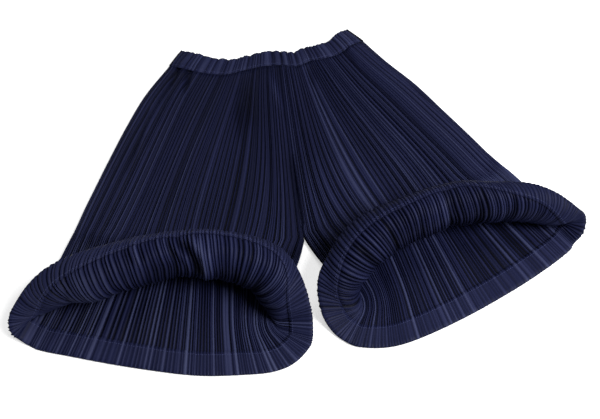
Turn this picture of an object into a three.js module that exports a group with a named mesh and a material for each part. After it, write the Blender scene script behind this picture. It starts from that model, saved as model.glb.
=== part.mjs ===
// Pleated wide-leg shorts, laid flat on a table with both leg mouths rolled open.
// Millimetres, +Z up. +Y runs from the hems to the waist, +X to the right-hand leg in view.
import * as THREE from 'three';

// Driving sizes of the garment
const waistHalf = 151;        // half the flat width at the seam under the waistband
const bandTopHalf = 131;      // half the flat width at the top of the gathered waistband
const frontRise = 298;        // crotch point to the waistband seam at the centre
// How far the waistband seam stands above that, at even steps from the left side to the right
const waistLine = [36, 16, 2, -5, -1, 3, 1, -5, 2.5, 5, 10, 26.5, 42];
const bandHeight = 30;        // waistband casing
const flare = 165;            // cut length from the crotch line to the hem edge
const hemDepth = 26;          // depth of the turned-up hem
const cloth = 1.4;            // wall of a panel
const turnUp = 1.0;           // wall of a hem turn-up
const bandCloth = 2.4;        // wall of the waistband, elastic inside
const seamGap = 0.3;          // clearance where pieces meet
const foldEdge = 4;           // height of the outer surface at the side fold
const waistPuff = 14;         // height of the front at the waistband seam
const frontRound = 0.3;       // share of the half width over which the front's edge rounds off
const backRound = 0.06;       // the same on the back, which lies flat
const linePull = 0.8;         // how strongly a pleat line's heading at the crotch bends the body
const settle = { front: 2, back: 6 };   // how late each face takes up its crotch line height
// How far each side bows out, at even steps from the waistband seam to the crotch line
const sideLine = { left: [0, 10, 9.3, 5.2, 1.4, 0], right: [0, 0.6, 5.6, 4, 2.4, 0] };

// Pleats: each one here stands for a bundle of the real narrow ones
const pleats = 13;
const pleatDepth = 1.6;
const flatNearSeam = 3;       // half-pleats over which they flatten toward a seam
const gathers = 18;           // on each face of the waistband
const gatherDepth = 0.4;

const navy = new THREE.Color('#20243f');
const clothRoughness = 0.6;

// Sections around a leg at the crotch line and how each one runs on to the hem. The share
// around goes from the side fold over the front to the inseam at 0.5, then back under the
// rear. x runs outward from the centre line, y toward the waist, z up. A pleat line leaves
// along heading (degrees outward from -Y) and rise, swings outward by swing over the length
// before, then bends through curl degrees over the length roll. Lean tips that bend from
// upward toward the centre line.
const columns = ['around', 'x', 'y', 'z', 'heading', 'swing', 'rise', 'before', 'roll', 'curl', 'lean'];
const leftLeg = [
  [0.00, 278, 72, 4, 20.5, 4, 1.5, 112, 40, 0, -80],
  [0.02, 270, 67, 8.6, 19.5, 3, 2, 112, 48, 48, -70],
  [0.06, 251, 58, 11, 22.5, 1.5, 2, 108, 57, 117, -64],
  [0.13, 219, 41, 15, 22.5, 2, 6, 84, 81, 195, -26],
  [0.22, 176, 24, 16, 12, 0, 8, 56, 108, 236, -6],
  [0.31, 122, 18, 16, 9, 0, 8, 49, 116, 242, 8],
  [0.40, 61, -2, 14, 18.5, 0, 7, 49, 116, 236, 34],
  [0.46, 20, -1, 11.5, 23.5, 16, 4, 76, 66, 162, 55],
  [0.50, 0.6, 0, 6, 20, 23, 1, 100, 30, 126, 80],
  [0.53, 4.5, -1, 2.5, 15.5, 21, 0, 102, 30, 100, 88],
  [0.56, 13.5, 0, 0.8, 15.5, 14, 0, 98, 32, 77, 90],
  [0.60, 37, -3, 0, 14, 6.5, 0, 90, 35, 44, 90],
  [0.66, 77, 3, 0, 8, 0, 0, 85, 40, 11, 90],
  [0.74, 125, 10.5, 0, 5, 1.5, 0, 80, 40, 0, 90],
  [0.82, 164, 24, 0, 13.3, 0.5, 0, 80, 40, 0, 90],
  [0.90, 215, 42.5, 0, 21, 1.4, 0, 80, 40, 0, 90],
  [0.96, 253, 56.5, 0, 22, 2, 0, 90, 40, 0, 90],
  [0.985, 267, 65, 0.4, 22, 2.5, 0.4, 100, 40, 0, 90],
  [1.00, 278, 72, 4, 20.5, 4, 1.5, 112, 40, 0, 90],
];
const rightLeg = [
  [0.00, 270.5, 93.5, 4, 26, -3.5, 1.5, 110, 40, 0, -80],
  [0.02, 264.5, 92, 8.6, 24.5, -3, 2, 110, 48, 54, -70],
  [0.06, 254, 77.5, 11, 22.5, -1, 2, 108, 57, 121, -57],
  [0.13, 220, 60, 15, 21, 0.5, 6, 84, 81, 195, -24],
  [0.22, 176, 44, 16, 12, 0, 8, 57, 108, 236, -6],
  [0.31, 122, 30, 16, 9, 0, 8, 54, 118, 243, 8],
  [0.40, 60, 10, 14, 19, 0, 7, 56, 116, 240, 31],
  [0.46, 19, 6.5, 11.5, 16, 12.5, 4, 80, 66, 171, 54],
  [0.50, 0.6, 4, 6, 16, 23.5, 1, 100, 30, 124, 80],
  [0.53, 3.4, 6, 2.5, 14.8, 21.5, 0, 102, 30, 101, 88],
  [0.56, 14, 8.5, 0.8, 13.8, 13.8, 0, 100, 32, 72, 90],
  [0.60, 36, 6.5, 0, 13, 5.8, 0, 90, 35, 46, 90],
  [0.66, 76, 9.5, 0, 9, -1, 0, 85, 40, 13, 90],
  [0.74, 127, 23.5, 0, 5.8, 1.2, 0, 80, 40, 0, 90],
  [0.82, 165.5, 39.5, 0, 13, 0.5, 0, 80, 40, 0, 90],
  [0.90, 214, 61.5, 0, 23, -0.8, 0, 80, 40, 0, 90],
  [0.96, 251, 80.5, 0, 25.2, 0, 0, 90, 40, 0, 90],
  [0.985, 265, 91, 0.4, 25, -1.5, 0.4, 100, 40, 0, 90],
  [1.00, 270.5, 93.5, 4, 26, -3.5, 1.5, 110, 40, 0, 90],
];

// Largest folds, raised (+) or sunk (-) across the pleats. along is 0 at the waistband
// seam, 1 at the crotch line and 2 at the hem; halfWidth is a share around the leg.
const folds = [
  { leg: 'left', around: 0.275, halfWidth: 0.02, from: 1.35, to: 1.9, height: 4 },
  { leg: 'left', around: 0.19, halfWidth: 0.018, from: 1.5, to: 1.85, height: 2.5 },
  { leg: 'left', around: 0.345, halfWidth: 0.018, from: 1.4, to: 1.8, height: 3 },
  { leg: 'left', around: 0.06, halfWidth: 0.02, from: -0.1, to: 0.3, height: -2 },
  { leg: 'left', around: 0.4, halfWidth: 0.05, from: 0.05, to: 0.6, height: -3 },
  { leg: 'right', around: 0.25, halfWidth: 0.02, from: 1.4, to: 1.9, height: 3.5 },
  { leg: 'right', around: 0.33, halfWidth: 0.018, from: 1.45, to: 1.85, height: 2.5 },
  { leg: 'right', around: 0.44, halfWidth: 0.04, from: 0.05, to: 0.7, height: -3 },
];

// Stations along a pleat line
const bodyStations = [0, 0.2, 0.4, 0.6, 0.8];
const mouthStations = [0, 28, 52, 68, 82, 95, 106, 117, 128, flare - hemDepth, flare - hemDepth / 2, flare];
const legStations = [...bodyStations, ...mouthStations.map((length) => 1 + length / flare)];
const hemStations = 3;        // the last of them, on the hem turn-up
const bandStations = [0, 0.5, 1];           // top edge to waistband seam

const radians = THREE.MathUtils.degToRad;
const clamp = THREE.MathUtils.clamp;
const smooth = (value) => THREE.MathUtils.smoothstep(value, 0, 1);
const wrap = (around) => ((around % 1) + 1) % 1;

// Cubic through neighbouring values with given end slopes
function hermite(start, startSlope, end, endSlope, t) {
  const t2 = t * t;
  const t3 = t2 * t;
  return (2 * t3 - 3 * t2 + 1) * start + (t3 - 2 * t2 + t) * startSlope
    + (3 * t2 - 2 * t3) * end + (t3 - t2) * endSlope;
}

// One section of a leg table at any share around the leg
function sectionAt(table, around) {
  const share = wrap(around);
  let i = 0;
  while (i < table.length - 2 && table[i + 1][0] <= share) i += 1;
  const span = table[i + 1][0] - table[i][0];
  const t = (share - table[i][0]) / span;
  const slope = (row, column) => {
    const low = table[Math.max(row - 1, 0)];
    const high = table[Math.min(row + 1, table.length - 1)];
    return (high[column] - low[column]) / (high[0] - low[0]) * span;
  };
  const section = {};
  columns.forEach((name, c) => {
    section[name] = hermite(table[i][c], slope(i, c), table[i + 1][c], slope(i + 1, c), t);
  });
  return section;
}

// Directions a pleat line runs in, bends toward and has at its outward side
function lineDirections(section, headingDegrees) {
  const heading = radians(headingDegrees);
  const rise = radians(section.rise);
  const lean = radians(section.lean);
  const run = new THREE.Vector3(
    Math.sin(heading) * Math.cos(rise), -Math.cos(heading) * Math.cos(rise), Math.sin(rise));
  const up = new THREE.Vector3(
    -Math.sin(heading) * Math.sin(rise), Math.cos(heading) * Math.sin(rise), Math.cos(rise));
  const outward = new THREE.Vector3(Math.cos(heading), Math.sin(heading), 0);
  const bend = up.multiplyScalar(Math.cos(lean)).addScaledVector(outward, -Math.sin(lean));
  return { run, bend, outward };
}

// Point on a pleat line at a cut length past the crotch line
function mouthPoint(section, length) {
  const start = lineDirections(section, section.heading);
  const swing = radians(section.swing);
  const first = Math.min(length, section.before);
  const swung = swing * first / section.before;
  const sideways = Math.abs(swung) < 1e-4 ? 0 : first * (1 - Math.cos(swung)) / swung;
  const ahead = Math.abs(swung) < 1e-4 ? first : first * Math.sin(swung) / swung;
  const point = new THREE.Vector3(section.x, section.y, section.z)
    .addScaledVector(start.run, ahead).addScaledVector(start.outward, sideways);
  if (length <= section.before) return point;
  const { run, bend } = lineDirections(section, section.heading + section.swing);
  const curl = Math.max(radians(section.curl), 1e-3);
  const radius = section.roll / curl;
  const turned = Math.min(length - section.before, section.roll) / radius;
  const rest = Math.max(length - section.before - section.roll, 0);
  point.addScaledVector(run, radius * Math.sin(turned) + rest * Math.cos(turned));
  return point.addScaledVector(bend, radius * (1 - Math.cos(turned)) + rest * Math.sin(turned));
}

// Smooth curve through evenly spaced values
function curveAt(values, share) {
  const steps = values.length - 1;
  const i = Math.min(Math.floor(share * steps), steps - 1);
  const slope = (k) => {
    const low = Math.max(k - 1, 0);
    const high = Math.min(k + 1, steps);
    return (values[high] - values[low]) / (high - low);
  };
  return hermite(values[i], slope(i), values[i + 1], slope(i + 1), share * steps - i);
}

// Line of the waistband seam, from one side of the garment to the other
function waistSeamY(x) {
  return frontRise + curveAt(waistLine, (1 + x / waistHalf) / 2);
}

// Height of a flattened tube's outer surface, rounded at its side folds
function puff(face, sideShare, height) {
  if (face === 'back') return foldEdge * (1 - smooth(sideShare / backRound));
  return foldEdge + (height - foldEdge) * (1 - (1 - clamp(sideShare / frontRound, 0, 1)) ** 3);
}

// Point on the body, between the waistband seam (0) and the crotch line (1)
function bodyPoint(section, face, along, mirror) {
  const sideShare = face === 'front' ? section.around * 2 : (1 - section.around) * 2;
  const x = waistHalf * (1 - sideShare);
  const top = new THREE.Vector3(x, waistSeamY(x * mirror), puff(face, sideShare, waistPuff));
  const foot = new THREE.Vector3(section.x, section.y, section.z);
  const { run } = lineDirections(section, section.heading);
  const reach = top.distanceTo(foot) * linePull;
  const slopeX = clamp(run.x * reach, 0, 3 * Math.max(foot.x - top.x, 0));
  const bow = curveAt(sideLine[section.leg], along) * (1 - sideShare) ** 4;
  return new THREE.Vector3(
    hermite(top.x, foot.x - top.x, foot.x, slopeX, along) + bow,
    hermite(top.y, foot.y - top.y, foot.y, run.y * reach, along),
    THREE.MathUtils.lerp(top.z, foot.z, along ** settle[face]));
}

// A leg as one tube: its front is the first half around, its back the second. Above the
// crotch line the two halves part at the centre seam.
function makeLeg(side, table) {
  const mirror = side === 'left' ? -1 : 1;
  const legFolds = folds.filter((fold) => fold.leg === side);
  const surface = (face, around, along) => {
    const share = wrap(around);
    const section = sectionAt(table, share);
    section.around = share;
    section.leg = side;
    const half = share < 0.5 ? 'front' : 'back';
    const body = Math.abs(share - 0.5) > 0.25 ? half : face;
    const point = along < 1
      ? bodyPoint(section, body, along, mirror)
      : mouthPoint(section, (along - 1) * flare);
    point.z = Math.max(point.z, 0);
    return point;
  };
  const rise = (around, along) => legFolds.reduce((sum, fold) => {
    const across = Math.exp(-(((around - fold.around) / fold.halfWidth) ** 2));
    const lengthShare = clamp((along - fold.from) / (fold.to - fold.from), 0, 1);
    return sum + fold.height * across * Math.sin(Math.PI * lengthShare);
  }, 0);
  return { name: side, surface, rise, parts: 1, mirror };
}

// The waistband as one tube: the front runs from the right side to the left, 0 to 0.5
const waistband = {
  name: 'waistband',
  surface: (face, around, level) => {
    const share = wrap(around);
    const t = share < 0.5 ? 1 - 4 * share : 4 * share - 3;
    const sideShare = 1 - Math.abs(t);
    const up = 1 - level;
    return new THREE.Vector3(
      THREE.MathUtils.lerp(waistHalf, bandTopHalf, up) * t,
      waistSeamY(waistHalf * t) + seamGap + up * bandHeight,
      puff(share < 0.5 ? 'front' : 'back', sideShare, waistPuff));
  },
  rise: () => 0,
  parts: 2,
  mirror: 1,
};

// Directions across the pleats and out of the cloth, from neighbouring points. The centre
// seams of the body are free edges, so there the neighbour on the same face is used.
const aroundStep = 0.004;
const alongStep = 0.01;
function clothFrame(tube, face, around, along) {
  const free = tube.parts === 1 && along < 1;
  const back = free && face === 'back' && around - aroundStep < 0.5 ? 0 : aroundStep;
  const ahead = free && face === 'front' && around + aroundStep > 0.5 ? 0 : aroundStep;
  const across = tube.surface(face, around + ahead, along).sub(tube.surface(face, around - back, along));
  const down = tube.surface(face, around, Math.min(along + alongStep, 2))
    .sub(tube.surface(face, around, Math.max(along - alongStep, 0)));
  const normal = across.clone().cross(down).normalize();
  return { across: across.normalize(), normal };
}

// Outer and inner points of one face of a tube, station by station. The back lies on the
// table, so its underside stays plain and only its upper surface is pleated.
function faceRows(tube, face, { stations, folded, depth, wall }) {
  const start = face === 'front' ? 0 : 0.5;
  return stations.map((along) => {
    const row = [];
    for (let i = 0; i <= folded * 2; i += 1) {
      const around = start + 0.25 * (i / folded);
      const outer = tube.surface(face, around, along);
      const { across, normal } = clothFrame(tube, face, around, along);
      // The wall stands level at a side fold and upright at the centre seam of the body, so
      // that it doesn't cross the cloth beside it
      if (along < 1.6 && wrap(around) === 0) normal.setZ(0).normalize();
      if (tube.parts === 1 && along < 1 && around === 0.5) normal.set(0, 0, face === 'front' ? 1 : -1);
      const edge = (i === 0 ? 1 : 0) - (i === folded * 2 ? 1 : 0);
      const fade = Math.min(i, folded * 2 - i, flatNearSeam) / flatNearSeam;
      const ridge = depth * fade * (i % 2 === 0 ? 1 : -1);
      outer.addScaledVector(across, edge * seamGap / 2);
      const inner = outer.clone();
      if (face === 'front') {
        const lift = ridge + tube.rise(around, along);
        outer.addScaledVector(normal, lift);
        inner.addScaledVector(normal, lift - wall);
      } else {
        inner.addScaledVector(normal, -wall - Math.max(ridge, 0));
      }
      row.push({ outer, inner, normal });
    }
    return row;
  });
}

// Closed wall between two grids of points, outer grid first; mirrored walls keep their
// faces outward by turning each triangle over.
function wallGeometry(outer, inner, mirror) {
  const rows = outer.length;
  const across = outer[0].length;
  const points = [...outer.flat(), ...inner.flat()];
  const positions = points.flatMap((p) => [p.x * mirror, p.y, p.z]);
  const at = (layer, r, c) => layer * rows * across + r * across + c;
  const triangles = [];
  const quad = (a, b, c, d) => {
    const turned = mirror > 0 ? [a, b, c, a, c, d] : [a, c, b, a, d, c];
    triangles.push(...turned);
  };
  for (let r = 0; r < rows - 1; r += 1) {
    for (let c = 0; c < across - 1; c += 1) {
      quad(at(0, r, c), at(0, r, c + 1), at(0, r + 1, c + 1), at(0, r + 1, c));
      quad(at(1, r, c), at(1, r + 1, c), at(1, r + 1, c + 1), at(1, r, c + 1));
    }
  }
  for (let c = 0; c < across - 1; c += 1) {
    quad(at(0, 0, c), at(1, 0, c), at(1, 0, c + 1), at(0, 0, c + 1));
    quad(at(0, rows - 1, c), at(0, rows - 1, c + 1), at(1, rows - 1, c + 1), at(1, rows - 1, c));
  }
  for (let r = 0; r < rows - 1; r += 1) {
    quad(at(0, r, 0), at(0, r + 1, 0), at(1, r + 1, 0), at(1, r, 0));
    quad(at(0, r, across - 1), at(1, r, across - 1), at(1, r + 1, across - 1), at(0, r + 1, across - 1));
  }
  const geometry = new THREE.BufferGeometry();
  geometry.setAttribute('position', new THREE.Float32BufferAttribute(positions, 3));
  geometry.setIndex(triangles);
  return geometry;
}

const shorts = new THREE.Group();

// A leg keeps to its own side of the centre line
const ownSide = (tube, point) => (tube.parts === 1
  ? new THREE.Vector3(Math.max(point.x, seamGap / 2), point.y, point.z) : point);

function addPiece(name, tube, rows, outerOf, innerOf) {
  const grid = (pick) => rows.map((row) => row.map((p) => ownSide(tube, pick(p))));
  const finish = new THREE.MeshStandardMaterial({ color: navy, roughness: clothRoughness, metalness: 0 });
  const mesh = new THREE.Mesh(wallGeometry(grid(outerOf), grid(innerOf), tube.mirror), finish);
  mesh.name = name;
  shorts.add(mesh);
}

const inward = (distance) => (p) => p.inner.clone().addScaledVector(p.normal, -distance);

[makeLeg('left', leftLeg), makeLeg('right', rightLeg)].forEach((leg) => {
  ['front', 'back'].forEach((face) => {
    const rows = faceRows(leg, face, {
      stations: legStations, folded: pleats, depth: pleatDepth, wall: cloth,
    });
    addPiece(`${face}_${leg.name}`, leg, rows, (p) => p.outer, (p) => p.inner);
    addPiece(`hem_${face}_${leg.name}`, leg, rows.slice(-hemStations),
      inward(seamGap), inward(seamGap + turnUp));
  });
});

['front', 'back'].forEach((face) => {
  const rows = faceRows(waistband, face, {
    stations: bandStations, folded: gathers, depth: gatherDepth, wall: bandCloth,
  });
  addPiece(`waistband_${face}`, waistband, rows, (p) => p.outer, (p) => p.inner);
});

// Origin under the middle of the whole piece, on the table
const bounds = new THREE.Box3().setFromObject(shorts);
const middle = bounds.getCenter(new THREE.Vector3());
shorts.position.set(-middle.x, -middle.y, -bounds.min.z);

export default shorts;
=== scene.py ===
import math
import random

import bmesh
import bpy
import numpy as np
from mathutils import Matrix, Vector


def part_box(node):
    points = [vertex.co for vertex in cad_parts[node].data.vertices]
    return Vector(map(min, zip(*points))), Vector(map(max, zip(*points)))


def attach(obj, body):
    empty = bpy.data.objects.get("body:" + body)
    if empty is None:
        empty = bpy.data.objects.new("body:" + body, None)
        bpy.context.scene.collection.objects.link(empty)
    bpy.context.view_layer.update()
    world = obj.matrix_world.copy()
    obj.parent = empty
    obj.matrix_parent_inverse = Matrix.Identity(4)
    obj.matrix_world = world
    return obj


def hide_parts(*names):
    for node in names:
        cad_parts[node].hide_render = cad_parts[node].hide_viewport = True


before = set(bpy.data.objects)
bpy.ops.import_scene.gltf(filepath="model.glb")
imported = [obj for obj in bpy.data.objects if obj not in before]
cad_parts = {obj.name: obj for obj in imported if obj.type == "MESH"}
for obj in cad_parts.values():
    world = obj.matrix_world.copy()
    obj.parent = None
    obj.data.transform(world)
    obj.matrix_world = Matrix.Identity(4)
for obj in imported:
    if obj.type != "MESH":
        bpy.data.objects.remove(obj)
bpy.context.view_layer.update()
print("frame loaded")

# the garment's sizes in metres, and how it lies
garment = {
    "waistHalf": .151,        # flat half width at the waistband seam
    "bandTopHalf": .131,
    "frontRise": .298,        # crotch to waistband seam
    # how far the waistband seam stands above that, at even steps from the left side to the right
    "waistLine": [.036, .016, .002, -.005, -.001, .003, .001, -.005, .0025, .005, .010, .0265, .042],
    "bandHeight": .030,
    "flare": .165,            # cut length below the crotch line
    "hemDepth": .026,
    "foldEdge": .004,         # height of the side folds
    "waistPuff": .014,        # height of the front at the waistband seam
    "frontRound": .3,         # share of the half width over which the front's edge rounds off
    "backRound": .06,         # and the back's, which lies flat
    "linePull": .8,           # how strongly a pleat line's heading at the crotch bends the body
    "settle": {"front": 2, "back": 6},      # how late each face takes up its height at the crotch line
    # how far each side bows out, at even steps from the waistband seam to the crotch line
    "sideLine": {"left": [0, .010, .0093, .0052, .0014, 0], "right": [0, .0006, .0056, .004, .0024, 0]},
    "seamGap": .0003,         # between the waistband and the body
}

# sections round each leg at the crotch line, and how a pleat line leaves each one for the hem
# share around the leg: side fold 0, inseam .5, side fold 1; lengths in metres, angles in degrees
legColumns = ["around", "x", "y", "z", "heading", "swing", "rise", "before", "roll", "curl", "lean"]
legTables = {
    "left": [
        [0.00, .278, .072, .004, 20.5, 4, 1.5, .112, .04, 0, -80],
        [0.02, .270, .067, .0086, 19.5, 3, 2, .112, .048, 48, -70],
        [0.06, .251, .058, .011, 22.5, 1.5, 2, .108, .057, 117, -64],
        [0.13, .219, .041, .015, 22.5, 2, 6, .084, .081, 195, -26],
        [0.22, .176, .024, .016, 12, 0, 8, .056, .108, 236, -6],
        [0.31, .122, .018, .016, 9, 0, 8, .049, .116, 242, 8],
        [0.40, .061, -.002, .014, 18.5, 0, 7, .049, .116, 236, 34],
        [0.46, .02, -.001, .0115, 23.5, 16, 4, .076, .066, 162, 55],
        [0.50, .0006, 0, .006, 20, 23, 1, .1, .03, 126, 80],
        [0.53, .0045, -.001, .0025, 15.5, 21, 0, .102, .03, 100, 88],
        [0.56, .0135, 0, .0008, 15.5, 14, 0, .098, .032, 77, 90],
        [0.60, .037, -.003, 0, 14, 6.5, 0, .09, .035, 44, 90],
        [0.66, .077, .003, 0, 8, 0, 0, .085, .04, 11, 90],
        [0.74, .125, .0105, 0, 5, 1.5, 0, .08, .04, 0, 90],
        [0.82, .164, .024, 0, 13.3, .5, 0, .08, .04, 0, 90],
        [0.90, .215, .0425, 0, 21, 1.4, 0, .08, .04, 0, 90],
        [0.96, .253, .0565, 0, 22, 2, 0, .09, .04, 0, 90],
        [.985, .267, .065, .0004, 22, 2.5, .4, .1, .04, 0, 90],
        [1.00, .278, .072, .004, 20.5, 4, 1.5, .112, .04, 0, 90],
    ],
    "right": [
        [0.00, .2705, .0935, .004, 26, -3.5, 1.5, .11, .04, 0, -80],
        [0.02, .2645, .092, .0086, 24.5, -3, 2, .11, .048, 54, -70],
        [0.06, .254, .0775, .011, 22.5, -1, 2, .108, .057, 121, -57],
        [0.13, .22, .06, .015, 21, .5, 6, .084, .081, 195, -24],
        [0.22, .176, .044, .016, 12, 0, 8, .057, .108, 236, -6],
        [0.31, .122, .03, .016, 9, 0, 8, .054, .118, 243, 8],
        [0.40, .06, .01, .014, 19, 0, 7, .056, .116, 240, 31],
        [0.46, .019, .0065, .0115, 16, 12.5, 4, .08, .066, 171, 54],
        [0.50, .0006, .004, .006, 16, 23.5, 1, .1, .03, 124, 80],
        [0.53, .0034, .006, .0025, 14.8, 21.5, 0, .102, .03, 101, 88],
        [0.56, .014, .0085, .0008, 13.8, 13.8, 0, .1, .032, 72, 90],
        [0.60, .036, .0065, 0, 13, 5.8, 0, .09, .035, 46, 90],
        [0.66, .076, .0095, 0, 9, -1, 0, .085, .04, 13, 90],
        [0.74, .127, .0235, 0, 5.8, 1.2, 0, .08, .04, 0, 90],
        [0.82, .1655, .0395, 0, 13, .5, 0, .08, .04, 0, 90],
        [0.90, .214, .0615, 0, 23, -.8, 0, .08, .04, 0, 90],
        [0.96, .251, .0805, 0, 25.2, 0, 0, .09, .04, 0, 90],
        [.985, .265, .091, .0004, 25, -1.5, .4, .1, .04, 0, 90],
        [1.00, .2705, .0935, .004, 26, -3.5, 1.5, .11, .04, 0, 90],
    ],
}

# where the crotch point lies in the frame
centreX = (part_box("back_left")[1].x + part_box("back_right")[0].x) / 2
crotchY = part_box("waistband_front")[1].y - (
    garment["frontRise"] + garment["waistLine"][-1] + garment["seamGap"] + garment["bandHeight"])
crotchPoint = np.array([centreX, crotchY, 0])


def hermite(start, startSlope, end, endSlope, t):
    # cubic between two values with given end slopes
    t2, t3 = t * t, t * t * t
    return ((2 * t3 - 3 * t2 + 1) * start + (t3 - 2 * t2 + t) * startSlope
            + (3 * t2 - 2 * t3) * end + (t3 - t2) * endSlope)


def smooth(value):
    value = np.clip(value, 0, 1)
    return value * value * (3 - 2 * value)


def sectionAt(side, shares):
    # the leg's section at any shares around it
    table = np.array(legTables[side], float)
    knots = table[:, 0]
    shares = shares % 1
    i = np.clip(np.searchsorted(knots, shares, side="right") - 1, 0, len(knots) - 2)
    low = np.maximum(np.arange(len(knots)) - 1, 0)
    high = np.minimum(np.arange(len(knots)) + 1, len(knots) - 1)
    slopes = (table[high] - table[low]) / (knots[high] - knots[low])[:, None]
    span = knots[i + 1] - knots[i]
    t = (shares - knots[i]) / span
    section = {"share": shares, "side": side}
    for c, name in enumerate(legColumns):
        section[name] = hermite(table[i, c], slopes[i, c] * span, table[i + 1, c], slopes[i + 1, c] * span, t)
    return section


def lineDirections(section, headingDegrees):
    # the directions a pleat line runs in, bends toward and has at its outward side
    heading, rise, lean = (np.radians(v) for v in (headingDegrees, section["rise"], section["lean"]))
    run = np.stack([np.sin(heading) * np.cos(rise), -np.cos(heading) * np.cos(rise), np.sin(rise)], -1)
    up = np.stack([-np.sin(heading) * np.sin(rise), np.cos(heading) * np.sin(rise), np.cos(rise)], -1)
    outward = np.stack([np.cos(heading), np.sin(heading), np.zeros_like(heading)], -1)
    return run, up * np.cos(lean)[..., None] - outward * np.sin(lean)[..., None], outward


def mouthPoints(section, length):
    # past the crotch line a pleat line swings outward, then bends through its roll and runs on straight
    # a straight line is taken as the faintest of bends, so that nothing is divided by zero
    run, _, outward = lineDirections(section, section["heading"])
    swing = np.radians(section["swing"])
    first = np.minimum(length, section["before"])
    swung = np.where(np.abs(swing) < 1e-4, 1e-4, swing) * first / section["before"]
    swung = np.where(np.abs(swung) < 1e-7, 1e-7, swung)
    points = (np.stack([section["x"], section["y"], section["z"]], -1)
              + run * (first * np.sin(swung) / swung)[..., None]
              + outward * (first * (1 - np.cos(swung)) / swung)[..., None])
    run, bend, _ = lineDirections(section, section["heading"] + section["swing"])
    curl = np.maximum(np.radians(section["curl"]), 1e-3)
    radius = section["roll"] / curl
    past = np.maximum(length - section["before"], 0)
    turned = np.minimum(past, section["roll"]) / radius
    rest = np.maximum(past - section["roll"], 0)
    points += run * (radius * np.sin(turned) + rest * np.cos(turned))[..., None]
    return points + bend * (radius * (1 - np.cos(turned)) + rest * np.sin(turned))[..., None]


def curveAt(values, share):
    # smooth curve through evenly spaced values
    values = np.array(values)
    steps = len(values) - 1
    slopes = np.gradient(values)
    i = np.clip(np.floor(share * steps).astype(int), 0, steps - 1)
    return hermite(values[i], slopes[i], values[i + 1], slopes[i + 1], share * steps - i)


def waistSeamY(x):
    return garment["frontRise"] + curveAt(garment["waistLine"], (1 + x / garment["waistHalf"]) / 2)


def puff(isFront, sideShare):
    # height of the flattened garment's outside at the waist, rounded at its side folds
    edge = garment["foldEdge"]
    back = edge * (1 - smooth(sideShare / garment["backRound"]))
    rounded = 1 - (1 - np.clip(sideShare / garment["frontRound"], 0, 1)) ** 3
    return np.where(isFront, edge + (garment["waistPuff"] - edge) * rounded, back)


def bodyPoints(section, isFront, along, mirror):
    # between the waistband seam and the crotch line
    sideShare = np.where(isFront, section["share"] * 2, (1 - section["share"]) * 2)
    topX = garment["waistHalf"] * (1 - sideShare)
    topY, topZ = waistSeamY(topX * mirror), puff(isFront, sideShare)
    run, _, _ = lineDirections(section, section["heading"])
    x, y, z = section["x"], section["y"], section["z"]
    reach = np.sqrt((topX - x) ** 2 + (topY - y) ** 2 + (topZ - z) ** 2) * garment["linePull"]
    # steeper than three times its run, the curve would turn back
    slopeX = np.clip(run[..., 0] * reach, 0, 3 * np.maximum(x - topX, 0))
    bow = curveAt(garment["sideLine"][section["side"]], along) * (1 - sideShare) ** 4
    settle = np.where(isFront, garment["settle"]["front"], garment["settle"]["back"])
    return np.stack([hermite(topX, x - topX, x, slopeX, along) + bow,
                     hermite(topY, y - topY, y, run[..., 1] * reach, along),
                     topZ + (z - topZ) * np.clip(along, 0, 1) ** settle], -1)


def legSurface(side, face, shares, along):
    # points of one leg's outer surface: along 0 at the waistband seam, 1 at the crotch line, 2 at the hem
    mirror = -1 if side == "left" else 1
    section = sectionAt(side, shares)
    share = section["share"]
    # near the inseam the face that asks decides, because the body's two faces part there
    isFront = np.where(np.abs(share - .5) > .25, share < .5, face == "front")
    body = bodyPoints(section, isFront, np.minimum(along, 1), mirror)
    mouth = mouthPoints(section, np.maximum(along - 1, 0) * garment["flare"])
    points = np.where((along < 1)[..., None], body, mouth)
    points[..., 2] = np.maximum(points[..., 2], 0)
    return points


def unit(vectors):
    return vectors / np.maximum(np.linalg.norm(vectors, axis=-1, keepdims=True), 1e-9)


def legFrame(side, face, shares, along):
    # directions across the pleats, down them and out of the cloth, from neighbouring points; the body's
    # centre seam is a free edge, so there the neighbour on the same face is used
    reach, step = .004, .01
    free = along < 1
    back = np.where(free & (face == "back") & (shares - reach < .5), 0, reach)
    ahead = np.where(free & (face == "front") & (shares + reach > .5), 0, reach)
    across = legSurface(side, face, shares + ahead, along) - legSurface(side, face, shares - back, along)
    down = (legSurface(side, face, shares, np.minimum(along + step, 2))
            - legSurface(side, face, shares, np.maximum(along - step, 0)))
    return unit(down), unit(np.cross(across, down))


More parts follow.
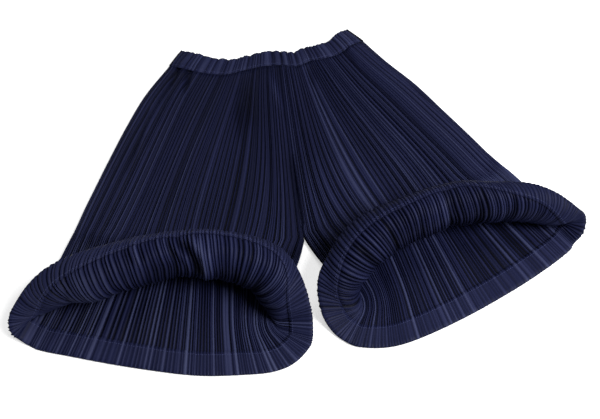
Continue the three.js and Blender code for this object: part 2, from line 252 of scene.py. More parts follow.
# pleats of a panel: how many, how uneven, how many lie between two strongly pressed lines, how often one lies
# broad and how much lighter it is painted (a painted highlight where it catches the light), how deep they are
# and how far the cloth swells between them
pleatSets = {
    "front": {"count": 98, "spread": .3, "between": [1, 2, 2, 2, 2, 3], "broadOneIn": 8, "broad": 1.4,
              "lit": 1.2, "depth": .0030, "swell": .0010},
    "back": {"count": 94, "spread": .3, "between": [1, 1, 1, 2], "broadOneIn": 4, "broad": 1.35,
             "lit": 2.6, "depth": .0024, "swell": .0008},
}
pressing = {
    "strong": (.75, 1),         # how deep the strongly pressed lines are, and the weak ones between them
    "weak": (.2, .55),
    "strongFrom": .7,
    "atSeam": .8,
    "strongReach": .44,         # how much of the pleat a groove's slope takes
    "weakReach": .22,
    "lean": .3,                 # how far a pleat's back tips to one side
    "narrowShade": -.3,          # painted shade: narrow pleats are painted a little darker than broad ones
    "fades": (3, 9),            # how often a line fades and comes back along its length
    "swellSkew": .75,           # under 1 puts the top of a swell nearer one line
    "swellSpan": 2.2,           # pleats a swell needs for its full height
    "springsFrom": .75,         # how far open the cloth is when every pleat springs up
    "weakClosed": .3,           # how much of a weak line shows when the cloth lies closed
    "weakOpens": 1.1,           # and how much more when it opens
    "strongFade": .2,           # how much of a strong line goes where it fades
    "weakFade": (1.25, .9),     # how deep the weak and the sprung lines are, and how much of that goes
    "sprungFade": (.95, .4),
    "sprungSwell": .75,         # how much of a swell is gone by then
}
flatPleat = [-1, .30, .40, .22]          # groove, shoulder, back, shoulder, as pressed flat
openPleat = [-1, -.30, 1, -.30]          # the zigzag of a pleat that has sprung open
turn = 6.28                              # a full turn, for random phases


def makePleats(kind, seed):
    # uneven pleats across one panel: edges from 0 to 1, how strongly each was pressed, and its lean
    rule = pleatSets[kind]
    rng = random.Random(seed)
    widths, strengths, broads, wait = [], [], [], 0
    for _ in range(rule["count"]):
        broads.append(rng.random() < 1 / rule["broadOneIn"])
        widths.append((1 + rule["spread"] * rng.uniform(-1, 1)) * (rule["broad"] if broads[-1] else 1))
        if wait == 0:
            strengths.append(rng.uniform(*pressing["strong"]))
            wait = rng.choice(rule["between"])
        else:
            strengths.append(rng.uniform(*pressing["weak"]))
        wait -= 1
    seam = [pressing["atSeam"]]
    edges = np.concatenate([[0], np.cumsum(widths)]) / sum(widths)
    leans = np.array([rng.uniform(-pressing["lean"], pressing["lean"]) for _ in widths])
    # each pleat's random tone plus painted light: a painted highlight on broad pleats, painted shade on
    # narrow ones
    tonesAndLight = np.array([rng.uniform(-1, 1) + (rule["lit"] if broad else pressing["narrowShade"])
                      for broad in broads])
    fades = np.array([[rng.uniform(*pressing["fades"]), rng.uniform(0, turn)] for _ in edges]).T
    return {"edges": edges, "strengths": np.array(seam + strengths[1:] + seam), "leans": leans,
            "tonesAndLight": tonesAndLight, "fades": fades}


def pleatColumns(edges, strengths):
    # four columns a pleat: its groove, the groove's two shoulders, and the middle of its back
    widths = np.diff(edges)
    reach = np.where(strengths > pressing["strongFrom"], pressing["strongReach"], pressing["weakReach"])
    near = np.minimum(reach[:-1] * widths, .5 * widths.mean())
    far = np.minimum(reach[1:] * widths, .5 * widths.mean())
    middle = (edges[:-1] + near + edges[1:] - far) / 2
    columns = np.stack([edges[:-1], edges[:-1] + near, middle, edges[1:] - far], 1)
    return np.append(columns.ravel(), 1.0)


def swells(edges, strengths, columns):
    # gentle backs between the strongly pressed lines, each leaning to one side
    strong = np.flatnonzero(strengths > pressing["strongFrom"])
    heights = np.zeros(len(columns))
    for a, b in zip(strong, strong[1:]):
        inside = slice(4 * a, 4 * b + 1)
        phase = (columns[inside] - edges[a]) / (edges[b] - edges[a])
        height = min(1, (b - a) / pressing["swellSpan"])
        heights[inside] = np.sin(math.pi * phase ** pressing["swellSkew"]) * height
    return heights


def pleatRelief(pleats, columns, along, opened, depth, swell):
    # height of every column at every row; opened 0 leaves only the strong lines, 1 springs all the pleats
    edges, strengths, leans = pleats["edges"], pleats["strengths"], pleats["leans"]
    often, phase = pleats["fades"]
    fade = .5 + .5 * np.sin(often * along + phase)
    weakDepth, weakLoss = pressing["weakFade"]
    weakLines = pressing["weakClosed"] + pressing["weakOpens"] * opened
    weakLines = weakLines * (weakDepth - weakLoss * fade)
    strongLines = 1 - pressing["strongFade"] * fade
    grooves = strengths * np.where(strengths > pressing["strongFrom"], strongLines, weakLines)
    sprung = smooth((opened - pressing["springsFrom"]) / (1 - pressing["springsFrom"]))
    sprungDepth, sprungLoss = pressing["sprungFade"]
    sprungLines = sprung * (sprungDepth - sprungLoss * fade)
    grooves = np.clip(np.maximum(grooves, sprungLines), 0, 1) * depth
    mean = (grooves[:, :-1] + grooves[:, 1:]) / 2
    relief = np.zeros((len(opened), len(columns)))
    relief[:, 0::4] = -grooves
    for j in (1, 2, 3):
        height = flatPleat[j] + (openPleat[j] - flatPleat[j]) * sprung
        relief[:, j::4] = mean * (height + leans * (1 - sprung))
    relief += swells(edges, strengths, columns) * swell * (1 - pressing["sprungSwell"] * sprung)
    relief[:, 0] = relief[:, -1] = 0
    return relief


# creases listed one by one, each a straight soft trough (-) or ridge (+) out of the cloth's outside: around
# and along at one end and the other, then half width and height in metres
creases = {
    "front_left": [
        (.275, 1.40, .275, 1.85, .012, .004), (.19, 1.55, .19, 1.80, .011, .0025),
        (.345, 1.45, .345, 1.75, .011, .003), (.06, -.05, .06, .20, .008, -.002),
        (.40, .10, .40, .50, .018, -.003),
        # under the waistband
        (.343, .08, .366, .33, .009, -.0055), (.335, .20, .352, .42, .004, -.0025),
        (.095, -.02, .123, .13, .0035, -.005), (.042, -.02, .058, .12, .003, -.0045),
        (.445, .07, .478, .28, .005, .003), (.478, .28, .483, .55, .005, .002),
        (.044, .30, .066, .66, .004, -.0018), (.060, .28, .085, .60, .004, .0012),
        (.497, .55, .497, 1.05, .005, -.0025),
        # scrunched cloth on the roll and the step in its lip
        (.204, 1.85, .216, 1.70, .0024, .0028), (.210, 1.85, .222, 1.70, .0022, -.0022),
        (.222, 1.83, .230, 1.70, .0024, .0028), (.263, 1.80, .280, 1.64, .003, .0035),
        (.272, 1.80, .288, 1.64, .003, -.003), (.275, 1.82, .302, 1.66, .005, .0065),
        (.302, 1.66, .318, 1.52, .0045, .006), (.298, 1.80, .318, 1.66, .005, -.005),
        (.318, 1.66, .328, 1.45, .005, -.006), (.12, 1.74, .19, 1.60, .022, -.011),
        (.23, 1.62, .285, 1.58, .014, .005), (.25, 2.0, .39, 2.0, .012, .005),
        (.36, 1.62, .372, 1.42, .004, .003), (.40, 1.66, .41, 1.45, .0035, .003),
        (.430, 1.70, .437, 1.50, .003, .003),
        (.452, 1.68, .462, 1.42, .003, .003), (.470, 1.75, .474, 1.50, .003, .003),
        (.487, 1.84, .488, 1.50, .004, .004),
    ],
    "front_right": [
        (.25, 1.45, .25, 1.85, .012, .0035), (.33, 1.50, .33, 1.80, .011, .0025),
        (.44, .10, .44, .60, .017, -.003),
        (.361, .03, .367, .15, .006, -.0022), (.458, .23, .434, .53, .007, -.002),
        (.405, .20, .383, .62, .007, -.0015), (.030, .40, .024, .56, .006, -.002),
        (.12, -.02, .13, .10, .004, -.0018), (.497, .55, .497, 1.05, .005, -.0025),
        (.246, 1.80, .244, 1.45, .009, .0045), (.14, 2.0, .34, 2.0, .012, .005),
        (.262, 1.80, .262, 1.45, .005, -.003),
        (.300, 1.76, .310, 1.50, .004, .003), (.350, 1.76, .362, 1.48, .004, .003),
        (.200, 1.80, .205, 1.50, .004, .003), (.150, 1.82, .158, 1.55, .004, .0025),
        (.400, 1.78, .41, 1.50, .0035, .003), (.444, 1.85, .450, 1.50, .003, .003),
        (.469, 1.85, .470, 1.50, .003, .0035), (.490, 1.85, .490, 1.45, .005, .005),
    ],
    "back_left": [
        (.835, 1.15, .83, 1.85, .010, -.002), (.70, 1.10, .71, 1.80, .012, -.0018),
        (.64, .30, .66, .90, .014, -.003), (.90, .40, .88, .95, .012, -.0025),
        (.78, .05, .77, .45, .010, -.002),
    ],
    "back_right": [
        (.79, 1.15, .80, 1.85, .012, -.002), (.67, 1.20, .68, 1.80, .010, -.0018),
        (.62, .25, .64, .85, .013, -.003), (.86, .35, .87, .90, .012, -.0025),
        (.75, .05, .76, .40, .010, -.002),
    ],
}
creaseLaw = {
    "along": [0, 1, 2], "legGirth": [.302, .56, .65],     # length round one leg at the waist, crotch and hem
    "ends": .08,                # a crease rises and falls in a half wave, less this share at each end
    "endsRound": .7,            # under 1 keeps it near its full height for longer
    "fullShade": .005,          # half width up to which a crease is shaded by its whole height
    "shadeFalls": 1.3,          # how fast broader ones lose that shade
}


def cutDown(along):
    # metres down the cloth from the waistband seam
    return np.where(along < 1, along * garment["frontRise"],
                    garment["frontRise"] + (along - 1) * garment["flare"])


def creaseRelief(name, shares, along):
    # how far the creases raise or sink the cloth, and how much of that lightens or darkens it
    girth = np.interp(along, creaseLaw["along"], creaseLaw["legGirth"])
    across, down = shares * girth, cutDown(along)
    relief, shade = np.zeros_like(shares), np.zeros_like(shares)
    for around0, along0, around1, along1, halfWidth, height in creases[name]:
        startAcross, startDown = around0 * girth, cutDown(along0)
        runAcross, runDown = around1 * girth - startAcross, cutDown(along1) - startDown
        onward = (across - startAcross) * runAcross + (down - startDown) * runDown
        t = np.clip(onward / (runAcross ** 2 + runDown ** 2), 0, 1)
        away2 = (across - startAcross - t * runAcross) ** 2 + (down - startDown - t * runDown) ** 2
        halfWave = math.pi * (creaseLaw["ends"] + (1 - 2 * creaseLaw["ends"]) * t)
        level = np.sin(halfWave) ** creaseLaw["endsRound"]
        rise = height * np.exp(-away2 / halfWidth ** 2) * level
        relief += rise
        shade += rise * min(1, (creaseLaw["fullShade"] / halfWidth) ** creaseLaw["shadeFalls"])
    return relief, shade


def gridPiece(name, points, crestShade, flat, mirrored):
    # a grid whose rows and columns are moved to the given points, with each point's crest shade (its height
    # on its pleat, plus painted light and shade) and its place on the flat cloth
    rows, columns = points.shape[:2]
    mesh = bpy.data.meshes.new(name)
    bm = bmesh.new()
    bmesh.ops.create_grid(bm, x_segments=columns - 1, y_segments=rows - 1, size=1, calc_uvs=False)
    bm.verts.ensure_lookup_table()
    uvLayer = bm.loops.layers.uv.new("cut")
    crestShadeLayer = bm.verts.layers.float.new("crestShade")
    # the grid comes row by row from its low corner
    cutPlaces = flat.reshape(-1, 2)
    for vertex, point, height in zip(bm.verts, points.reshape(-1, 3), crestShade.reshape(-1)):
        vertex.co = point
        vertex[crestShadeLayer] = height
    for face in bm.faces:
        face.smooth = True
        for loop in face.loops:
            loop[uvLayer].uv = cutPlaces[loop.vert.index]
    if mirrored:
        bmesh.ops.reverse_faces(bm, faces=bm.faces)
    bm.to_mesh(mesh)
    bm.free()
    piece = bpy.data.objects.new(name, mesh)
    bpy.context.scene.collection.objects.link(piece)
    return piece


def addWall(piece, thickness):
    # the grid is the outer face; the wall goes inward and takes the second material
    wall = piece.modifiers.new("wall", "SOLIDIFY")
    wall.thickness = thickness
    wall.offset = -1
    wall.use_even_offset = False
    wall.material_offset = 1
    wall.material_offset_rim = 0


def linear(hexColour):
    # an sRGB hex colour as linear values
    channels = [int(hexColour[i:i + 2], 16) / 255 for i in (1, 3, 5)]
    return [c / 12.92 if c <= .04045 else ((c + .055) / 1.055) ** 2.4 for c in channels] + [1]


def addNode(tree, kind, settings=None, links=None):
    node = tree.nodes.new(kind)
    for key, value in (settings or {}).items():
        if isinstance(key, int) or key in node.inputs:
            node.inputs[key].default_value = value
        else:
            setattr(node, key, value)
    for key, source in (links or {}).items():
        tree.links.new(source, node.inputs[key])
    return node


# colours from the bottom of a groove to the top of a sprung pleat: the ramp paints shade into the grooves and
# a greyer painted highlight onto the ridge tops
cloth = {
    "places": [.1, .48, .72, .95],
    "body": ["#010104", "#060819", "#151832", "#2C304A"],
    "hem": ["#060713", "#12152D", "#20233D", "#393D57"],
    "sheen": .006,
    "sheenTint": "#A8B0D8",
    "roughness": .5,
    "patch": .090909,           # size of the patches in which the dye is a little lighter or darker
    "patchTone": (.78, 1.22),
    # the knit's courses are .45 mm apart, too fine to show, so they are drawn about six times as coarse
    "course": .0028274,
}


def clothMaterial(name, colours, turnedOver):
    # polyester tricot, heat-set in fine pleats: the ramp paints shade into the grooves and a highlight along
    # the ridges, besides the shader's dry satin sheen
    material = bpy.data.materials.new(name)
    material.use_nodes = True
    tree = material.node_tree
    tree.nodes.clear()
    output = addNode(tree, "ShaderNodeOutputMaterial")
    # the crest shade attribute carries painted shade and light, which the ramp turns into colour
    crestShade = addNode(tree, "ShaderNodeAttribute", {"attribute_name": "crestShade"})
    height = crestShade.outputs["Fac"]
    if turnedOver:
        # a ridge on the outside is a groove on the inside
        upsideDown = addNode(tree, "ShaderNodeMath", {"operation": "SUBTRACT", 0: 1.0}, {1: height})
        height = upsideDown.outputs["Value"]
    ramp = addNode(tree, "ShaderNodeValToRGB", links={"Fac": height})
    for _ in colours[2:]:
        ramp.color_ramp.elements.new(.5)
    for element, place, colour in zip(ramp.color_ramp.elements, cloth["places"], colours):
        element.position = place
        element.color = linear(colour)
    where = addNode(tree, "ShaderNodeTexCoord")
    tone = addNode(tree, "ShaderNodeTexNoise", {"Scale": 1 / cloth["patch"], "Detail": 3.0},
                   {"Vector": where.outputs["Object"]})
    shade = addNode(tree, "ShaderNodeMapRange",
                    {"To Min": cloth["patchTone"][0], "To Max": cloth["patchTone"][1]},
                    {"Value": tone.outputs["Fac"]})
    tinted = addNode(tree, "ShaderNodeVectorMath", {"operation": "SCALE"},
                     {0: ramp.outputs["Color"], "Scale": shade.outputs["Result"]})
    cut = addNode(tree, "ShaderNodeUVMap", {"uv_map": "cut"})
    # at scale 1 the wave repeats every tau / 20
    knit = addNode(tree, "ShaderNodeTexWave",
                   {"Scale": math.tau / 20 / cloth["course"], "Distortion": 1.0, "Detail": 1.0},
                   {"Vector": cut.outputs["UV"]})
    bump = addNode(tree, "ShaderNodeBump", {"Strength": .12, "Distance": .0002},
                   {"Height": knit.outputs["Fac"]})
    shader = addNode(tree, "ShaderNodeBsdfPrincipled", {
        "Roughness": cloth["roughness"], "Sheen Weight": cloth["sheen"], "Sheen Roughness": .45,
        "Sheen Tint": linear(cloth["sheenTint"]), "IOR": 1.5, "Specular IOR Level": .05},
        {"Base Color": tinted.outputs["Vector"], "Normal": bump.outputs["Normal"]})
    tree.links.new(shader.outputs["BSDF"], output.inputs["Surface"])
    return material


outsideCloth = clothMaterial("heatSetPolyester", cloth["body"], False)
insideCloth = clothMaterial("heatSetPolyesterInside", cloth["body"], True)
hemOutside = clothMaterial("heatSetPolyesterHem", cloth["hem"], False)
hemInside = clothMaterial("heatSetPolyesterHemInside", cloth["hem"], True)

# spun polyester, twisted: dull, and a little paler than the cloth, so that each stitch is a small dash
thread = {
    # the first colour is painted shade in the hollows of the twist, the second the strand itself
    "colours": ["#2A2F50", "#464C74"],
    "twist": .0011111,          # one turn of the yarn
    "roughness": .7,
    "pitch": .0027,             # from one stitch to the next
    "size": (.0021, .00042, .0003),      # length, width and thickness of a stitch
    "ahead": .0012,             # how far ahead a stitch looks for its direction
}
threadMaterial = bpy.data.materials.new("spunPolyesterThread")
threadMaterial.use_nodes = True
threadTree = threadMaterial.node_tree
threadWhere = addNode(threadTree, "ShaderNodeTexCoord")
threadTwist = addNode(threadTree, "ShaderNodeTexNoise", {"Scale": 1 / thread["twist"]},
                      {"Vector": threadWhere.outputs["Object"]})
twistShade, strand = (linear(colour) for colour in thread["colours"])
threadColour = addNode(threadTree, "ShaderNodeMix", {"data_type": "RGBA", 6: twistShade, 7: strand},
                       {0: threadTwist.outputs["Fac"]})
threadShader = threadTree.nodes["Principled BSDF"]
threadShader.inputs["Roughness"].default_value = thread["roughness"]
threadShader.inputs["Specular IOR Level"].default_value = .1
threadTree.links.new(threadColour.outputs[2], threadShader.inputs["Base Color"])
print("materials made")

view = {
    "fromCrotch": (-.0737, -.4193, .700),      # where the camera hangs
    "down": 56,                 # degrees below level
    "turn": 9.3,
    "lens": 39,
    "sensor": 36,
}
camera = bpy.data.objects.new("camera", bpy.data.cameras.new("camera"))
bpy.context.scene.collection.objects.link(camera)
camera.location = Vector(crotchPoint) + Vector(view["fromCrotch"])
camera.rotation_euler = (math.radians(90 - view["down"]), 0, math.radians(-view["turn"]))
camera.data.lens = view["lens"]
camera.data.sensor_width = view["sensor"]
camera.data.clip_start = .01
bpy.context.scene.camera = camera

lights = {
    "keySoftbox": {"at": (1.0, -.75, 1.45), "size": .8, "power": 58},
    "topSoftbox": {"at": (.10, .80, 1.70), "size": 1.2, "power": 16},
}
for name, setting in lights.items():
    lamp = bpy.data.lights.new(name, "AREA")
    lamp.energy = setting["power"]
    lamp.size = setting["size"]
    light = bpy.data.objects.new(name, lamp)
    light.location = setting["at"]
    light.rotation_euler = (-Vector(setting["at"])).to_track_quat("-Z", "Y").to_euler()
    bpy.context.scene.collection.objects.link(light)

studio = {"colour": "#F4F6FA", "strength": .15}
world = bpy.data.worlds.new("studio")
bpy.context.scene.world = world
world.use_nodes = True
background = world.node_tree.nodes["Background"]
background.inputs["Color"].default_value = linear(studio["colour"])
background.inputs["Strength"].default_value = studio["strength"]
bpy.context.scene.view_settings.view_transform = "Standard"

# matt uncoated card, which glows a little here so that only the faintest shadow shows on it
card = {
    "halfSize": 6,
    "drop": .0004,              # just under the garment
    "surface": {"Base Color": linear("#CDCDCD"), "Roughness": .9, "Emission Color": linear("#FFFFFF"),
                "Emission Strength": .55},
}
floorMesh = bpy.data.meshes.new("floor")
bm = bmesh.new()
bmesh.ops.create_grid(bm, x_segments=1, y_segments=1, size=card["halfSize"])
bmesh.ops.translate(bm, verts=bm.verts, vec=(0, 0, -card["drop"]))
bm.to_mesh(floorMesh)
bm.free()
floor = bpy.data.objects.new("floor", floorMesh)
bpy.context.scene.collection.objects.link(floor)
cardMaterial = bpy.data.materials.new("paleCard")
cardMaterial.use_nodes = True
for socket, value in card["surface"].items():
    cardMaterial.node_tree.nodes["Principled BSDF"].inputs[socket].default_value = value
floor.data.materials.append(cardMaterial)
print("camera, light and floor set")

panel = {
    "bodyRows": 44,
    "mouthRows": 50,
    "hemRows": 8,
    "wall": .0007,
    "backLift": .0015,          # middle of the back's pleats above the table
    "backRelief": .7,           # how much of their depth is left under the cloth's own weight
    # how far the weaker pleats have opened, from the waistband (0) past the crotch line (1) to the hem (2)
    "opened": {"front": ([0, .25, .6, 1, 1.25, 2], [.05, .25, .45, .7, 1, 1]),
               "back": ([0, .6, 1, 2], [.1, .5, .7, .7])},
    # the front's pleats crowd in beside the centre seam at the waist and spread from it toward the crotch
    "crowd": {"reach": .2, "atWaist": .42, "spread": .5, "until": 1.1, "settled": .08,
              "settles": (1.2, .7), "flattened": .6},
    "calmEdges": (.03, .1),     # shares around the leg in which pleats straighten beside a seam
    # pleat depth at places from the waistband to the roll, as a share of the full depth
    "depth": ([0, .12, .5, 1, 1.3], [.55, .75, .85, .95, 1]),
    # waves in which pleats stray, on the whole panel and on its roll: how often down and around it
    "waves": {"count": 5, "down": ((1, 5), (3, 7)), "around": ((8, 30), (12, 45))},
    "wander": .0016,            # how far pleats stray sideways, as a share around the leg
    "rollWander": .0055,        # and on the roll, where they bend in an S
    "rollSkew": {"left": .015, "right": -.004},     # and lean toward the inseam
    "rollFrom": 1.1,
    "hemFlat": .5,              # how much of the pleat depth is left in the pressed hem
    "hemProud": .0009,          # hem turn-up stands this far off the panel's inside
    "hemWall": .0005,
    "hemPast": (.0008, .0003),  # how far it folds past the cut edge, at its lip and where it ends outside
    "scallop": .5,              # how far ridges stand past grooves at the hem's edge, per height
    "scallopFrom": 1.96,
    "lowest": -.0002,           # nothing goes under the table
    "fromCentre": .00005,       # nor past the middle, where the other leg's cloth begins
    "seamLean": .016,           # how far the centre seam wanders to the right, and how much cloth goes along
    "leanReach": .13,
    # painted light: the right leg's front is painted lighter, which paints its turned-out roll darker, and
    # the right back a little darker
    "tone": {"front_left": 0, "front_right": .08, "back_left": 0, "back_right": -.04},
    "rollShade": .05,            # painted shade: the cloth turned out on the roll is painted darker
    "rollShadeFrom": 1.15,
    "rollShadeOver": .2,
    "lipShade": .14,             # and a painted shadow, darkest where the roll turns under
    "lip": 1.5,
    "lipReach": .1,
    "creaseEdge": .02,          # creases fade within this share of a panel's edge
    "seamCreases": (.95, .1),   # but not above this line, this near the centre seam
    "cutScale": (1.1, .3),      # metres of cloth once around the leg, and down either half of a line
    "foldShade": 45,            # how much darker the hollow of a fold is, per metre of its depth
    "toneAndLightShift": .07,           # how much lighter or darker one pleat is than the next: random tone, plus the painted highlight or shade of its width
}
hemStart = 2 - garment["hemDepth"] / garment["flare"]
hemPress = .02                  # the pressed hem fades in over this much of the line
seeds = {"front_left": 11, "back_left": 23, "front_right": 37, "back_right": 41}


def pleatShare(along):
    # how much of the full depth a pleat has, from the waist to the pressed hem
    places, depths = panel["depth"]
    return np.interp(along, [*places, hemStart - hemPress, hemStart + hemPress, 2],
                     [*depths, 1, panel["hemFlat"], panel["hemFlat"]])


def crowding(share, along):
    # above 0 pleats crowd in toward the centre seam, below 0 they spread from it
    rule = panel["crowd"]
    far = math.exp(-.5 / rule["reach"])
    near = (np.exp((share - .5) / rule["reach"]) - far) / (1 - far)
    spread = rule["spread"] * np.minimum(along, rule["until"]) / rule["until"]
    settleFrom, settleOver = rule["settles"]
    settled = rule["settled"] * smooth((along - settleFrom) / settleOver)
    return (rule["atWaist"] - spread + settled) * near


def straying(seed, share, along):
    # slow waves that carry the pleats sideways: one for the whole panel, one for its roll
    rng, rule = random.Random(seed), panel["waves"]
    waves = np.zeros((2, *share.shape))
    for _ in range(rule["count"]):
        for wave, downs, rounds in zip(waves, rule["down"], rule["around"]):
            down, around, phase = rng.uniform(*downs), rng.uniform(*rounds), rng.uniform(0, turn)
            wave += np.sin(down * along * 2 + around * share + phase) / rule["count"]
    return waves


def panelGrid(side, face, alongs):
    # one panel's pleated grid: points of the smooth leg, directions down and out of the cloth, height of each
    # pleat, how light it is painted, and places on the flat cloth
    name, isFront = f"{face}_{side}", face == "front"
    start = 0 if isFront else .5
    pleats, rule = makePleats(face, seeds[name]), pleatSets[face]
    columns = pleatColumns(pleats["edges"], pleats["strengths"])
    along, share = np.meshgrid(alongs, start + .5 * columns, indexing="ij")
    crowd = crowding(share, along) if isFront else np.zeros_like(share)
    share = .5 - (.5 - share) * (1 - crowd)

    stray, bends = straying(seeds[name] + 5, share, along)
    rollShare = np.clip((along - panel["rollFrom"]) / (hemStart - panel["rollFrom"]), 0, 1)
    bends = (bends * panel["rollWander"] + panel["rollSkew"][side]) * np.sin(math.pi * rollShare) * isFront
    fromEdge = np.minimum(share - start, start + .5 - share)
    inner = smooth(fromEdge / panel["calmEdges"][0]) * smooth(fromEdge / panel["calmEdges"][1]) ** .5
    share = share + (stray * panel["wander"] + bends) * inner
    base = legSurface(side, face, share, along)
    down, normal = legFrame(side, face, share, along)

    depths = pleatShare(alongs)[:, None]
    opened = np.interp(alongs, *panel["opened"][face])[:, None]
    relief = pleatRelief(pleats, columns, alongs[:, None], opened, rule["depth"] * depths,
                         rule["swell"] * depths)
    relief *= 1 - panel["crowd"]["flattened"] * np.maximum(crowd, 0)
    # painted light and shade: the grooves are painted dark and the ridges light, and each pleat's tone and
    # painted light and the panel's painted light are added
    tonesAndLight = np.append(np.repeat(pleats["tonesAndLight"], 4), 0) * panel["toneAndLightShift"]
    crestShade = .5 + relief / (2 * rule["depth"]) + tonesAndLight * (relief > 0) + panel["tone"][name]
    if not isFront:
        # the back's inside is the side that shows
        crestShade = 1 - crestShade
        relief = -relief * panel["backRelief"] - panel["backLift"] * inner

    # creases fade at a panel's edges, but run into the centre seam of the body
    edge = smooth(np.minimum(share - start, start + .5 - share) / panel["creaseEdge"])
    above, near = panel["seamCreases"]
    edge = np.where((along < above) & (np.abs(share - .5) < near), 1, edge)
    folds, shade = creaseRelief(name, share, along)
    relief = relief + folds * edge
    crestShade = crestShade + shade * edge * panel["foldShade"]
    if isFront:
        # painted shade over the turned-out roll, and a painted shadow under its lip
        underLip = np.exp(-((along - panel["lip"]) / panel["lipReach"]) ** 2)
        rollShadeIn = smooth((along - panel["rollShadeFrom"]) / panel["rollShadeOver"])
        crestShade = crestShade + (panel["rollShade"] + panel["lipShade"] * underLip) * rollShadeIn
    hemEdge = smooth((along - panel["scallopFrom"]) / (2 - panel["scallopFrom"]))
    scallops = relief * (1 if isFront else -1) * panel["scallop"] * hemEdge
    flat = np.stack([share, along], -1) * panel["cutScale"]
    return base + down * scallops[..., None], down, normal, relief, np.clip(crestShade, 0, 1), flat


def leanSeam(points):
    # the centre seam wanders to the right toward the waist and draws the cloth beside it along
    high = np.clip(points[..., 1] / garment["frontRise"], 0, 1.05)
    beside = np.maximum(1 - np.abs(points[..., 0]) / panel["leanReach"], 0)
    points[..., 0] += panel["seamLean"] * high ** 1.2 * beside
    return points + crotchPoint


def place(points, side):
    # a leg's points put on their side of the centre line and into the frame
    points = points.copy()
    points[..., 0] = np.maximum(points[..., 0], panel["fromCentre"]) * (-1 if side == "left" else 1)
    points[..., 2] = np.maximum(points[..., 2], panel["lowest"])
    return leanSeam(points)


sheets = []


def dressPiece(piece, wall, materials, node):
    addWall(piece, wall)
    for material in materials:
        piece.data.materials.append(material)
    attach(piece, "root")
    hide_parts(node)
    sheets.append(piece)


def pointsAlong(values, lengths, places):
    return np.stack([np.interp(places, lengths, values[:, k]) for k in range(3)], -1)


def stitchRow(name, rows):
    # a seam's stitches: small flattened beads of thread laid along each row of (points, outward normals)
    mesh = bpy.data.meshes.new(name)
    bm = bmesh.new()
    size = Matrix.Diagonal([v / 2 for v in thread["size"]] + [1])
    for points, normals in rows:
        lengths = np.concatenate([[0], np.cumsum(np.linalg.norm(np.diff(points, axis=0), axis=1))])
        places = np.arange(thread["pitch"], lengths[-1] - thread["pitch"], thread["pitch"])
        at = pointsAlong(points, lengths, places)
        ahead = pointsAlong(points, lengths, places + thread["ahead"])
        for here, there, out in zip(at, ahead, pointsAlong(normals, lengths, places)):
            run = Vector(there - here).normalized()
            up = (Vector(out) - run * run.dot(Vector(out))).normalized()
            turned = Matrix((run, up.cross(run), up)).transposed().to_4x4()
            bmesh.ops.create_uvsphere(bm, u_segments=6, v_segments=4, radius=1,
                                      matrix=Matrix.Translation(here) @ turned @ size)
    for face in bm.faces:
        face.smooth = True
    bm.to_mesh(mesh)
    bm.free()
    piece = bpy.data.objects.new(name, mesh)
    bpy.context.scene.collection.objects.link(piece)
    piece.data.materials.append(threadMaterial)
    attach(piece, "root")


legAlongs = np.concatenate([
    np.linspace(0, 1, panel["bodyRows"], endpoint=False),
    np.linspace(1, hemStart - hemPress, panel["mouthRows"], endpoint=False),
    np.linspace(hemStart - hemPress, 2, panel["hemRows"])])
hemAlongs = np.linspace(hemStart, 2, panel["hemRows"])
lift = .0001                    # keeps touching faces apart

for side in ("left", "right"):
    hemSeam = []
    for face in ("front", "back"):
        name = f"{face}_{side}"
        base, down, normal, relief, crestShade, flat = panelGrid(side, face, legAlongs)
        points = place(base + normal * relief[..., None], side)
        piece = gridPiece(f"cloth_{name}", points, crestShade, flat, side == "left")
        dressPiece(piece, panel["wall"], [outsideCloth, insideCloth], name)

        base, down, normal, relief, crestShade, flat = panelGrid(side, face, hemAlongs)
        inside = relief - panel["wall"] - panel["hemProud"] + panel["hemWall"]
        hemPoints = base + normal * inside[..., None]
        # the turn-up folds round the cut edge
        lip, edge = (base[-1:] + normal[-1:] * (relief[-1:] + rise)[..., None] + down[-1:] * past
                     for rise, past in zip((-panel["wall"] / 2, lift), panel["hemPast"]))
        seam = hemPoints[1] - normal[1] * (panel["hemWall"] + lift)
        hemSeam.append((place(seam, side), -normal[1] * [-1 if side == "left" else 1, 1, 1]))
        hemPoints = np.concatenate([hemPoints, lip, edge])
        crestShade = np.concatenate([crestShade, crestShade[-1:], crestShade[-1:]])
        # a millimetre of cloth for each row of the fold
        flat = np.concatenate([flat, flat[-1:] + [0, .001], flat[-1:] + [0, .002]])
        hem = gridPiece(f"turnup_{name}", place(hemPoints, side), crestShade, flat, side == "left")
        dressPiece(hem, panel["hemWall"], [hemOutside, hemInside], f"hem_{name}")
        print("panel and hem:", name)
    stitchRow(f"stitches_hem_{side}", hemSeam)

band = {
    "gathers": 190,
    "spread": .45,
    "strength": (.15, 1),
    "lean": .6,
    "fades": (1, 4),
    "depth": .0006,
    "depthShare": (.7, .5),         # at the seam, and how much more there is at the top
    "opened": .6,
    "rows": 20,
    "rowsCrowd": 1.25,              # over 1 brings the rows closer at the top edge
    "wall": .0022,
    "bulge": .0012,
    "topAt": .97,                   # where the bulge stops closing over
    "pinch": .0008,                 # how far the stitch line is drawn in
    "pinchReach": .05,
    "stitchLevel": .9,              # and where it runs, from the top edge (0) to the seam (1)
    "waves": 9,                     # slow lumps across the gathers
    "waveAcross": (20, 95),
    "waveHeight": .0006,
    # painted light: the slow lumps are painted lighter where they rise and darker where they sink
    "waveShade": .06,
    "tone": (.58, .42),             # middle of the colours, and how far the gathers reach from it, painting shade into their folds and light onto their tops
    "lumpLength": (.005, .012),     # the gathered top edge stands up in small uneven lumps
    "lumpHeight": (.0008, .0026),
    "lumpsSink": .0012,
    "lumpsFrom": -.02,
    "sideCalm": .05,                # share of the half width in which the lumps settle at the side
    "backLies": (.0003, .3),        # lowest point of the back half, and how much of its relief is left
    "cutLength": .6,
    "notches": [(.335, .0035, .0022), (-.30, .0022, .0016)],   # place from centre to side, depth, half width
}


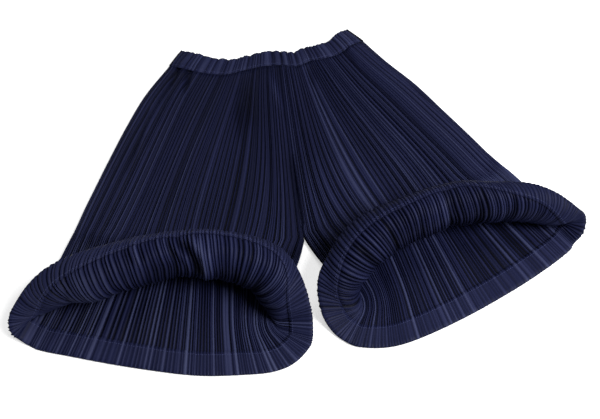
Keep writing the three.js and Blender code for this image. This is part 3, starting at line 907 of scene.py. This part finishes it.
def lumpyEdge(places, rng):
    # heights of the top edge, one rounded lump after another along the half width
    heights = np.zeros_like(places)
    at = band["lumpsFrom"]
    while at < 1.02 * 2 * garment["bandTopHalf"]:
        length = rng.uniform(*band["lumpLength"])
        phase = np.clip((places - at) / length, 0, 1)
        heights += rng.uniform(*band["lumpHeight"]) * np.sin(math.pi * phase) ** .6
        at += length
    return heights


def bandPiece(face, seed):
    # half of the gathered waistband; gives back the line its stitches follow
    rng = random.Random(seed)
    seam = [pressing["atSeam"]]
    widths = [1 + band["spread"] * rng.uniform(-1, 1) for _ in range(band["gathers"])]
    edges = np.concatenate([[0], np.cumsum(widths)]) / sum(widths)
    pleats = {"edges": edges,
              "strengths": np.array(seam + [rng.uniform(*band["strength"]) for _ in widths[1:]] + seam),
              "leans": np.array([rng.uniform(-band["lean"], band["lean"]) for _ in widths]),
              "fades": np.array([[rng.uniform(*band["fades"]), rng.uniform(0, turn)] for _ in edges]).T}
    places = pleatColumns(edges, pleats["strengths"])
    levels = np.linspace(0, 1, band["rows"]) ** band["rowsCrowd"]
    level, share = np.meshgrid(levels, places, indexing="ij")
    t = 1 - 2 * share if face == "front" else 2 * share - 1
    up = 1 - level
    x = (garment["waistHalf"] + (garment["bandTopHalf"] - garment["waistHalf"]) * up) * t
    wave = np.zeros_like(t)
    for _ in range(band["waves"]):
        across, phase = rng.uniform(*band["waveAcross"]), rng.uniform(0, turn)
        wave += np.sin(across * t + phase + rng.uniform(-1, 1) * up) / band["waves"] ** .5
    y = waistSeamY(garment["waistHalf"] * t) + garment["seamGap"] + up * garment["bandHeight"]
    edge = lumpyEdge((1 + t) * garment["bandTopHalf"], rng) - band["lumpsSink"]
    if face == "front":
        for at, depth, half in band["notches"]:
            edge -= depth * np.exp(-np.abs((t - at) * garment["bandTopHalf"] / half))
    y += edge * up ** 3 * np.minimum(1, (1 - np.abs(t)) / band["sideCalm"])
    relief = pleatRelief(pleats, places, levels[:, None], np.full((len(levels), 1), band["opened"]),
                         band["depth"], band["depth"])
    middle, reach = band["tone"]
    crestShade = np.clip(middle + reach * relief / (2 * band["depth"]) + wave * band["waveShade"], 0, 1)
    # a soft roll that is pinched at the stitch line and closes over at the top
    pinch = band["pinch"] * np.exp(-((level - band["stitchLevel"]) / band["pinchReach"]) ** 2)
    profile = band["bulge"] * np.sin(math.pi * np.clip(up, 0, band["topAt"])) ** .6 - pinch
    lumps = wave * band["waveHeight"] * (1 - np.abs(2 * share - 1) ** 4)
    atSeam, toTop = band["depthShare"]
    height = relief * (atSeam + toTop * up) + profile + lumps
    if face == "back":
        # it lies on the table
        lowest, left = band["backLies"]
        height = lowest + np.abs(height) * left
    z = puff(face == "front", 1 - np.abs(t)) + height
    points = leanSeam(np.stack([x, y, z], -1))
    flat = np.stack([share * band["cutLength"], level * garment["bandHeight"]], -1)
    piece = gridPiece(f"casing_{face}", points, crestShade, flat, False)
    dressPiece(piece, band["wall"], [outsideCloth, insideCloth], f"waistband_{face}")
    return points[np.argmin(np.abs(levels - band["stitchLevel"]))]


frontSeam = bandPiece("front", 61)
bandPiece("back", 67)
stitchRow("stitches_casing", [(frontSeam + [0, 0, lift], np.tile([0, 0, 1.0], (len(frontSeam), 1)))])
print("waistband made")

# each sheet's evaluated object is fetched; nothing more is done with it
for piece in sheets:
    evaluated = piece.evaluated_get(bpy.context.evaluated_depsgraph_get())
